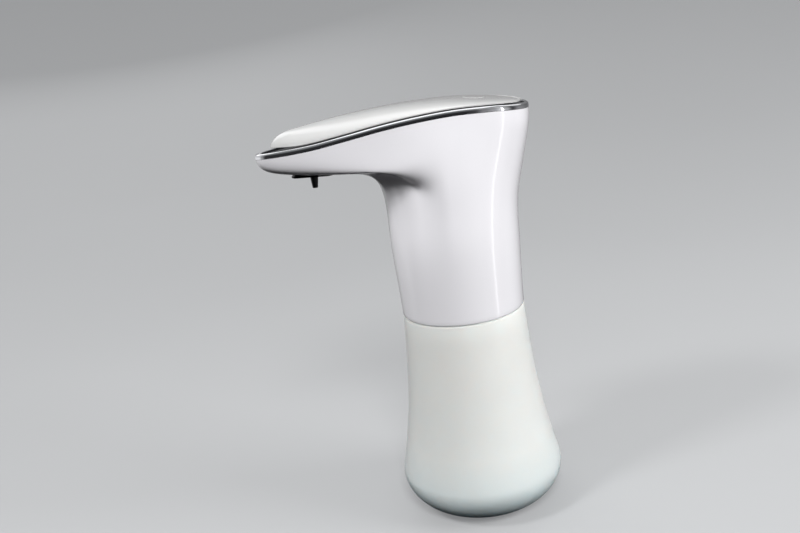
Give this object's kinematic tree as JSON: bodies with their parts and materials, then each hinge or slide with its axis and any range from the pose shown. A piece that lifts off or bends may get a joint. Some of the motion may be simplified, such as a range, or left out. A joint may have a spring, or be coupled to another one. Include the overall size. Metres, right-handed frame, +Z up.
{
  "type": "automatic soap dispenser",
  "caption": "Free-standing touchless liquid-soap dispenser: flared refill bottle with a twist-off pump head, forward spout, nozzle and domed leaf-shaped cover",
  "frame": {"origin": "the middle of the foot pad's underside, on the surface the dispenser stands on", "axes": "+Z is up, the spout and nozzle point along -Y, +X is across; the body is symmetric about X = 0"},
  "size_m": [0.0744, 0.1203, 0.1895],
  "materials": {
    "white_shell": "polished white ABS",
    "white_cover": "polished white ABS, a little warmer than the shell",
    "frosted_bottle": "frosted translucent polypropylene",
    "chrome": "bright plated",
    "black_gloss": "gloss black",
    "black_plastic": "satin black",
    "white_plastic": "moulded white",
    "grey_plastic": "moulded grey",
    "natural_plastic": "natural acetal",
    "hose": "translucent tube",
    "silicone": "soft silicone",
    "rubber": "black rubber",
    "steel": "plain steel",
    "nickel": "nickel plated",
    "brass": "machined",
    "board": "green solder mask",
    "cell": "plain printed sleeve",
    "wire_red": "wire insulation"
  },
  "bodies": {
    "bottle_body": {"bottle": "frosted_bottle", "foot_pad": "silicone"},
    "head_body": {"head_housing": "white_shell", "chrome_trim": "chrome", "top_deck": "black_gloss", "top_cover": "white_cover", "base_plate": "white_plastic", "neck_gasket": "silicone", "vent_valve": "rubber", "hinge_pin": "steel", "door_seal": "silicone", "battery_box": "black_plastic", "chassis_screw_right": "steel", "chassis_screw_left": "steel", "battery_1": "cell", "battery_2": "cell", "battery_3": "cell", "battery_4": "cell", "contact_left": "nickel", "contact_right": "nickel", "pump_housing": "grey_plastic", "pump_cover": "grey_plastic", "idler_shaft": "steel", "shaft_seal": "rubber", "gearbox_plate": "grey_plastic", "motor_can": "steel", "motor_end_cap": "white_plastic", "motor_screw_1": "steel", "motor_screw_2": "steel", "suction_tube": "hose", "inlet_strainer": "white_plastic", "outlet_hose": "hose", "sensor_window": "black_gloss", "nozzle": "black_plastic", "nozzle_holder": "black_plastic", "sensor_board": "board", "ir_emitter": "black_gloss", "ir_receiver": "black_gloss", "status_led": "natural_plastic", "control_board": "board", "tact_switch": "black_plastic", "control_chip": "black_plastic", "capacitor": "cell", "wire_socket": "white_plastic", "motor_wire_red": "wire_red", "motor_wire_black": "rubber", "sensor_cable": "rubber", "board_screw_right": "steel", "board_screw_left": "steel"},
    "button_body": {"power_button": "white_cover"},
    "door_body": {"battery_door": "white_plastic", "door_spring_left": "nickel", "door_spring_right": "nickel"},
    "rotor_body": {"motor_shaft": "steel", "motor_pinion": "brass"},
    "drive_body": {"drive_shaft": "steel", "reduction_gear": "natural_plastic", "pump_drive_gear": "natural_plastic"},
    "idler_body": {"pump_idler_gear": "natural_plastic"}
  },
  "joints": [
    {"name": "head_twist", "type": "hinge", "parent": "bottle_body", "child": "head_body", "pos_m": [0, 0, 0.1], "axis": [0, 0, 1], "range_deg": [0, 40]},
    {"name": "button_press", "type": "slide", "parent": "head_body", "child": "button_body", "axis": [0, 0, -1], "range_m": [0, 0.0006], "stiffness_N_per_m": 1500},
    {"name": "battery_door_swing", "type": "hinge", "parent": "head_body", "child": "door_body", "pos_m": [0, 0.0176, 0.1073], "axis": [1, 0, 0], "range_deg": [0, 80]},
    {"name": "drive_spin", "type": "hinge", "parent": "head_body", "child": "drive_body", "pos_m": [0.005, -0.0155, 0.12], "axis": [0, 0, 1], "continuous": true},
    {"name": "motor_spin", "type": "hinge", "parent": "head_body", "child": "rotor_body", "pos_m": [-0.004, -0.0155, 0.13], "axis": [0, 0, 1], "continuous": true},
    {"name": "idler_spin", "type": "hinge", "parent": "head_body", "child": "idler_body", "pos_m": [-0.005, -0.0155, 0.12], "axis": [0, 0, 1], "continuous": true}
  ],
  "couplings": [
    {"joint": "motor_spin", "follows": "drive_spin", "ratio": -2.75},
    {"joint": "idler_spin", "follows": "drive_spin", "ratio": -1}
  ]
}
